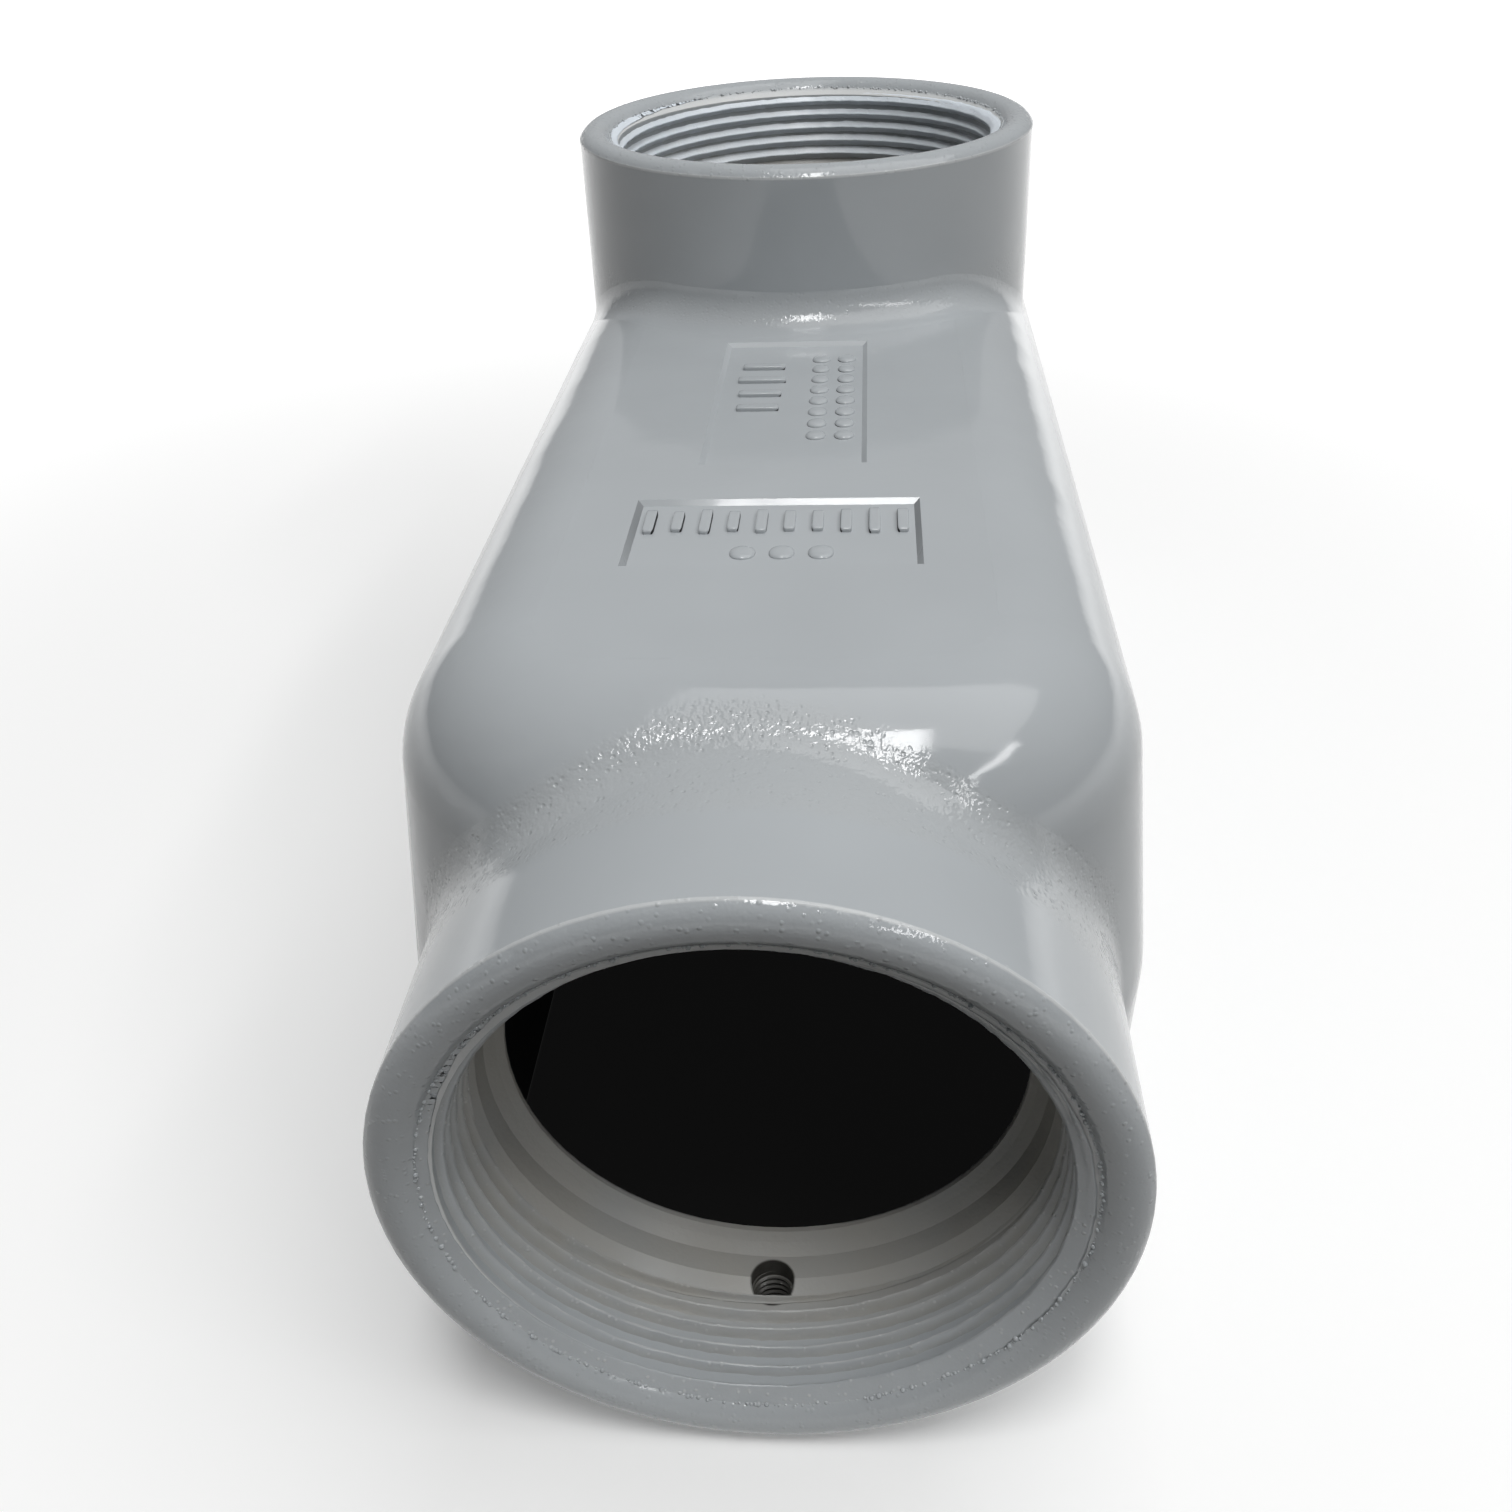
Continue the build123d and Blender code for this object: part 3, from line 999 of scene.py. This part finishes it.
for side, x in (("inner", 5.4 * MM), ("outer", 10.6 * MM)):
    mark_row(
        "long_panel_pips_" + side, x, end_rim.y + 150.5 * MM, long_floor_z, endwise,
        {"Count": 8, "Spacing": 5.9 * MM, "Length": 4.4 * MM, "Width": 4.6 * MM, **round_pip},
    )

# %% [markdown]
# ## Floor
# The object stands on a plain white sweep, which turns to pure white away from it and keeps a soft shadow
# near it. The camera sees it so, and mirrors and glass do too. The light that it throws back on the object
# is held down, except just in front, so that the sides stay as dark as in a real room while the low side of
# the near hub is lifted. The patch that the casting covers is black, because no light gets to it there, and
# a look down through a hub should end in black. Its outline is a rounded oblong, a little inside the seat.

# %% Floor
covered_half_width = 54 * MM
covered_half_length = 139 * MM
covered_middle_y = 11 * MM
covered_corner_r = 36 * MM
foot = Vector((0, end_rim.y - 12 * MM, 0))
black = (0.004, 0.004, 0.004, 1)
white_paper = (0.88, 0.88, 0.875, 1)
glow_near = (0.16, 0.16, 0.16, 1)
glow_far = (0.85, 0.85, 0.85, 1)
thrown_by_foot = (0.98, 0.97, 0.95, 1)
thrown_elsewhere = (0.055, 0.053, 0.05, 1)


def looked_at(board):
    """One for what the camera sees straight, in a mirror or through glass, nothing for thrown light."""
    path = board.add("ShaderNodeLightPath").outputs
    straight_or_mirrored = board.sum("MAXIMUM", path["Is Camera Ray"], path["Is Glossy Ray"])
    return board.sum("MAXIMUM", straight_or_mirrored, path["Is Transmission Ray"])


def make_floor_material():
    material = bpy.data.materials.new("white sweep")
    material.use_nodes = True
    board = Board(material.node_tree)
    seen = material.node_tree.nodes["Principled BSDF"]
    seen.inputs["Roughness"].default_value = 0.9
    seen.inputs["Specular IOR Level"].default_value = 0.1
    place = board.add("ShaderNodeTexCoord").outputs["Object"]
    x, y, z = board.parts(place)
    beside = board.sum("SUBTRACT", board.sum("ABSOLUTE", x), covered_half_width - covered_corner_r)
    along = board.sum("ABSOLUTE", board.sum("SUBTRACT", y, covered_middle_y))
    beyond = board.sum("SUBTRACT", along, covered_half_length - covered_corner_r)
    past_corner = board.joined(board.sum("MAXIMUM", beside, 0.0), board.sum("MAXIMUM", beyond, 0.0))
    outside = board.sum("SUBTRACT", board.length(past_corner), covered_corner_r)
    covered = board.rise(outside, -3 * MM, 0.0, 1.0, 0.0)
    board.feed(seen.inputs["Base Color"], board.mixed(covered, white_paper, black))
    glow = board.mixed(board.rise(board.length(place), 0.15, 0.9), glow_near, glow_far)
    board.feed(seen.inputs["Emission Color"], board.mixed(covered, glow, black))
    seen.inputs["Emission Strength"].default_value = 1.0

    from_foot = board.arrow("MULTIPLY", board.arrow("SUBTRACT", place, foot), (0.4, 1, 1))
    near_foot = board.rise(board.length(from_foot), 0.02, 0.045, 1.0, 0.0)
    thrown = board.add("ShaderNodeBsdfDiffuse")
    paper = board.mixed(near_foot, thrown_elsewhere, thrown_by_foot)
    board.feed(thrown.inputs["Color"], board.mixed(covered, paper, black))
    chosen = board.add("ShaderNodeMixShader")
    board.feed(chosen.inputs[0], looked_at(board))
    board.feed(chosen.inputs[1], thrown.outputs[0])
    board.feed(chosen.inputs[2], seen.outputs[0])
    board.feed(material.node_tree.nodes["Material Output"].inputs["Surface"], chosen.outputs[0])
    return material


def make_floor(radius, sides):
    mesh = bpy.data.meshes.new("floor")
    work = bmesh.new()
    bmesh.ops.create_circle(work, cap_ends=True, segments=sides, radius=radius)
    work.to_mesh(mesh)
    work.free()
    mesh.materials.append(make_floor_material())
    floor = bpy.data.objects.new("floor", mesh)
    bpy.context.scene.collection.objects.link(floor)
    return floor


floor = make_floor(radius=14.0, sides=96)
print("floor", len(floor.data.polygons), "face")

# %% [markdown]
# ## Light
# Two lamps give the highlights, one like a tall window high in front and a long strip lower on the right.
# They are small and bright enough to leave crisp shapes in the wet-looking enamel. A broad soft panel
# overhead on the right does the rest of the work. Each lamp is placed by direction and distance, and its
# power follows from how bright its face is.

# %% Panels of light
aim = Vector((0, end_rim.y + 100 * MM, 70 * MM))


def panel_light(name, azimuth, elevation, distance, width, height, brightness, lean=0.0):
    """Azimuth is measured from the far end towards the right, brightness with white paper as one."""
    light = bpy.data.lights.new(name, "AREA")
    light.shape = "RECTANGLE"
    light.size = width
    light.size_y = height
    light.energy = brightness * math.pi * width * height
    turn = math.radians(azimuth)
    lift = math.radians(elevation)
    away = Vector((math.sin(turn) * math.cos(lift), math.cos(turn) * math.cos(lift), math.sin(lift)))
    lamp = bpy.data.objects.new(name, light)
    lamp.location = aim + away * distance
    facing = (-away).to_track_quat("-Z", "Y").to_matrix() @ Matrix.Rotation(math.radians(lean), 3, "Z")
    lamp.rotation_euler = facing.to_euler()
    bpy.context.scene.collection.objects.link(lamp)
    return lamp


panel_light("window lamp", 176, 69, 2.0, 0.38, 0.62, 17.0)
panel_light("front strip", 131, 41, 2.0, 1.1, 0.14, 11.5, lean=20)
panel_light("broad soft panel", 92, 73, 2.2, 2.0, 2.0, 2.1)

# %% [markdown]
# ## Room
# The world is the room around the lamps. For light that is thrown on the object it is brighter behind and,
# a little, on the right. Looked at straight, in a mirror or through glass, it is the even backdrop.

# %% Room
backdrop_strength = 0.4
room_white = (0.97, 0.985, 1.0, 1)
world = bpy.data.worlds.new("room")
world.use_nodes = True
bpy.context.scene.world = world
room = Board(world.node_tree)
direction = room.add("ShaderNodeTexCoord").outputs["Generated"]
x, y, z = room.parts(direction)
from_behind = room.rise(y, -0.2, 0.9, 0.01, 0.45)
from_right = room.rise(x, 0.2, 1.0, 0.0, 0.08)
brighter = room.sum("ADD", from_behind, from_right)
sky = world.node_tree.nodes["Background"]
sky.inputs["Color"].default_value = room_white
shown = room.sum("MULTIPLY", looked_at(room), backdrop_strength)
thrown = room.sum("MULTIPLY", room.sum("SUBTRACT", 1.0, looked_at(room)), brighter)
room.feed(sky.inputs["Strength"], room.sum("ADD", shown, thrown))
print("room", world.name, "backdrop", backdrop_strength)

# %% [markdown]
# ## Camera
# The camera stands low and close in front of the end hub, a little to the right, and looks down along the
# body, which is what makes the near hub so much larger than the far one.

# %% Camera
camera_place = Vector((15.03, -283.63, 216.78)) * MM
camera_heading = math.radians(5.147)
camera_tilt = math.radians(56.15)
camera_roll = math.radians(-2.726)
lens = bpy.data.cameras.new("camera")
lens.sensor_width = 36.0
lens.lens = 35.5
camera = bpy.data.objects.new("camera", lens)
turn = Matrix.Rotation(camera_heading, 4, "Z") @ Matrix.Rotation(camera_tilt, 4, "X")
turn = turn @ Matrix.Rotation(camera_roll, 4, "Z")
camera.matrix_world = Matrix.Translation(camera_place) @ turn
bpy.context.scene.collection.objects.link(camera)
bpy.context.scene.camera = camera
bpy.context.scene.view_settings.view_transform = "Standard"
print("camera", [round(v, 3) for v in camera_place])
